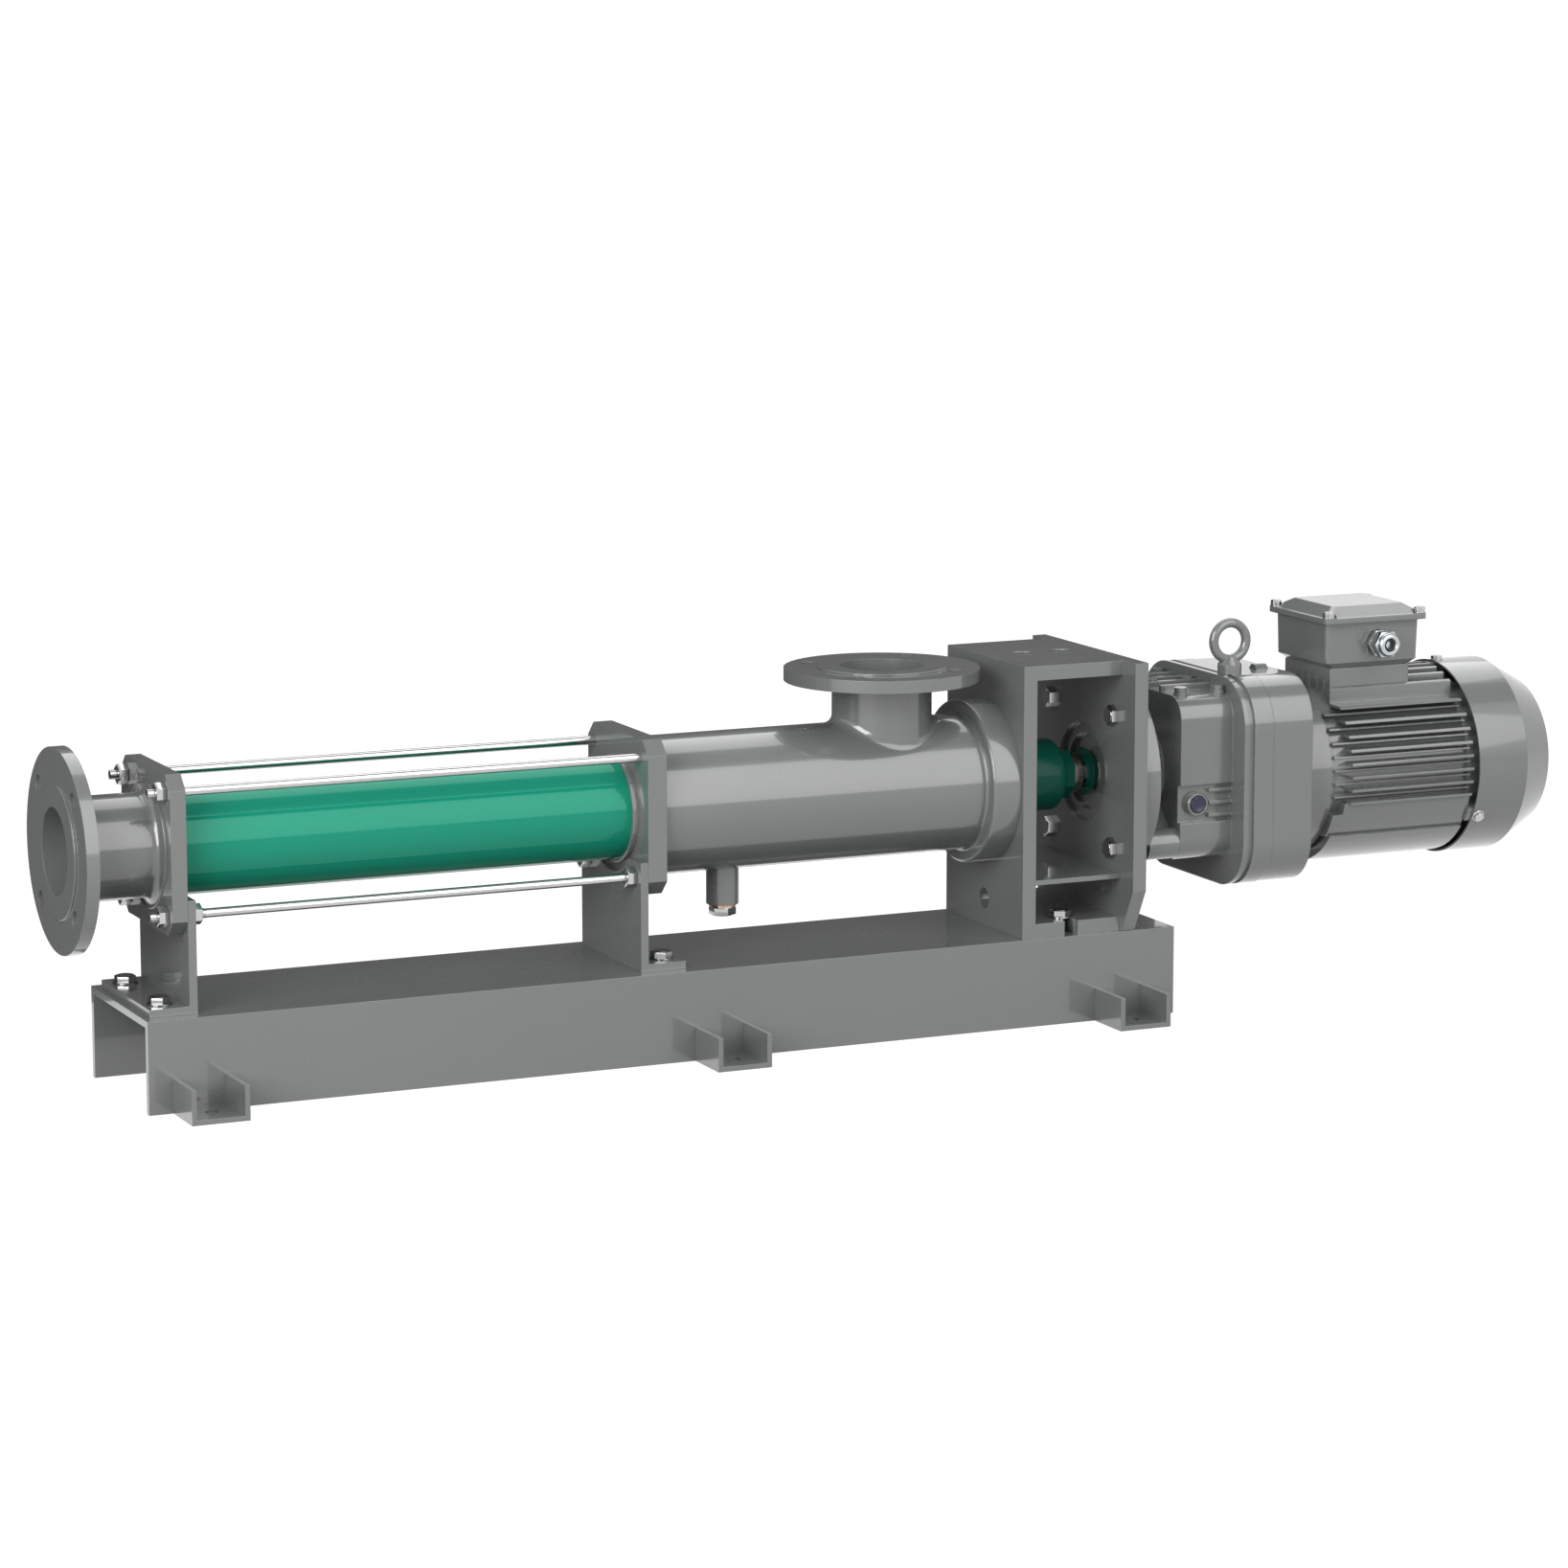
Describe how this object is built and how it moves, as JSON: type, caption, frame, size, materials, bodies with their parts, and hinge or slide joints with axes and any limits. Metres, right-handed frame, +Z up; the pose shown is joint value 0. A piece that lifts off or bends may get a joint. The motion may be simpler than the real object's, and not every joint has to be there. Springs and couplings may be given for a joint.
{
  "type": "progressive cavity pump",
  "caption": "Progressive cavity pump on a channel base: flanged discharge and suction, steel-cased stator, lantern and a flange-mounted gear motor.",
  "frame": {"origin": "on the floor under the middle of the overall length, in the shaft's upright plane", "axes": "+X along the shaft from the discharge flange to the motor, +Z up, +Y away from the side with the cable gland"},
  "size_m": [1.622, 0.296, 0.406],
  "materials": {
    "grey_paint": "semi-gloss",
    "fan_cover_paint": "semi-gloss",
    "stator_green": "gloss",
    "seal_green": "gloss",
    "bright_steel": "polished zinc plate",
    "shaft_steel": "ground",
    "joint_steel": "turned",
    "rotor_chrome": "hard chrome plate",
    "nickel": "nickel plate",
    "copper_washer": "soft copper",
    "blue_plug": "gloss",
    "nitrile_rubber": "moulded",
    "black_rubber": "satin",
    "seal_carbon": "lapped",
    "spring_steel": "drawn wire",
    "gear_steel": "oiled, machined",
    "bearing_steel": "ground",
    "lamination": "stacked sheet",
    "winding_copper": "varnished",
    "fan_plastic": "moulded"
  },
  "bodies": {
    "pump_frame": {"base_channel": "grey_paint", "anchor_feet": "grey_paint", "discharge_bracket": "grey_paint", "suction_bracket": "grey_paint", "discharge_branch": "grey_paint", "suction_housing": "grey_paint", "lantern_frame": "grey_paint", "drip_tray": "grey_paint", "gear_case": "grey_paint", "gear_cover": "grey_paint", "motor_adaptor": "grey_paint", "motor_frame": "grey_paint", "rear_end_shield": "grey_paint", "terminal_box": "grey_paint", "terminal_lid": "grey_paint", "eye_bolt": "grey_paint", "case_screws": "grey_paint", "output_seal": "grey_paint", "fan_cover": "fan_cover_paint", "stator_tube": "stator_green", "seal_housing": "seal_green", "tie_rods": "bright_steel", "tie_rod_nuts": "bright_steel", "bracket_bolts": "bright_steel", "bracket_nuts": "bright_steel", "lantern_bolts": "bright_steel", "lantern_nuts": "bright_steel", "housing_screws": "bright_steel", "gear_flange_bolts": "bright_steel", "fan_cover_screws": "bright_steel", "drain_plug": "bright_steel", "terminal_fittings": "bright_steel", "seal_collar": "shaft_steel", "cable_gland": "nickel", "drain_washer": "copper_washer", "oil_plug": "blue_plug", "stator_lining": "nitrile_rubber", "pinion_seal": "black_rubber", "seal_seat": "seal_carbon", "output_bearings": "bearing_steel", "lay_bearings": "bearing_steel", "motor_bearings": "bearing_steel", "stator_core": "lamination", "windings": "winding_copper"},
    "drive_shaft": {"drive_shaft": "shaft_steel", "drive_joint_pin": "joint_steel", "slinger_ring": "seal_green", "rotating_seal_ring": "seal_carbon", "seal_spring": "spring_steel", "output_quill": "shaft_steel", "output_gear": "gear_steel"},
    "rotor_orbit": {"rotor_thrust_ball": "joint_steel"},
    "pump_rotor": {"pump_rotor": "rotor_chrome", "rotor_joint_pin": "joint_steel"},
    "coupling_rod": {"coupling_rod": "joint_steel"},
    "layshaft": {"layshaft": "shaft_steel", "lay_wheel": "gear_steel"},
    "motor_rotor": {"motor_shaft": "shaft_steel", "rotor_core": "lamination", "cooling_fan": "fan_plastic"}
  },
  "joints": [
    {"name": "drive_shaft_spin", "type": "hinge", "parent": "pump_frame", "child": "drive_shaft", "pos_m": [0.25, 0, 0.244], "axis": [1, 0, 0], "continuous": true},
    {"name": "rotor_orbit_spin", "type": "hinge", "parent": "pump_frame", "child": "rotor_orbit", "pos_m": [-0.181, 0, 0.244], "axis": [1, 0, 0], "continuous": true},
    {"name": "pump_rotor_spin", "type": "hinge", "parent": "rotor_orbit", "child": "pump_rotor", "pos_m": [-0.181, 0, 0.251], "axis": [1, 0, 0], "continuous": true},
    {"name": "coupling_rod_spin", "type": "hinge", "parent": "rotor_orbit", "child": "coupling_rod", "pos_m": [-0.166, 0, 0.251], "axis": [0.9997, 0, -0.0249], "continuous": true},
    {"name": "layshaft_spin", "type": "hinge", "parent": "pump_frame", "child": "layshaft", "pos_m": [0.44, 0, 0.184], "axis": [1, 0, 0], "continuous": true},
    {"name": "motor_spin", "type": "hinge", "parent": "pump_frame", "child": "motor_rotor", "pos_m": [0.6, 0, 0.232], "axis": [1, 0, 0], "continuous": true}
  ],
  "couplings": [
    {"joint": "rotor_orbit_spin", "follows": "drive_shaft_spin", "ratio": -1},
    {"joint": "pump_rotor_spin", "follows": "drive_shaft_spin", "ratio": 2},
    {"joint": "coupling_rod_spin", "follows": "drive_shaft_spin", "ratio": 2},
    {"joint": "layshaft_spin", "follows": "drive_shaft_spin", "ratio": -3},
    {"joint": "motor_spin", "follows": "drive_shaft_spin", "ratio": 9}
  ]
}
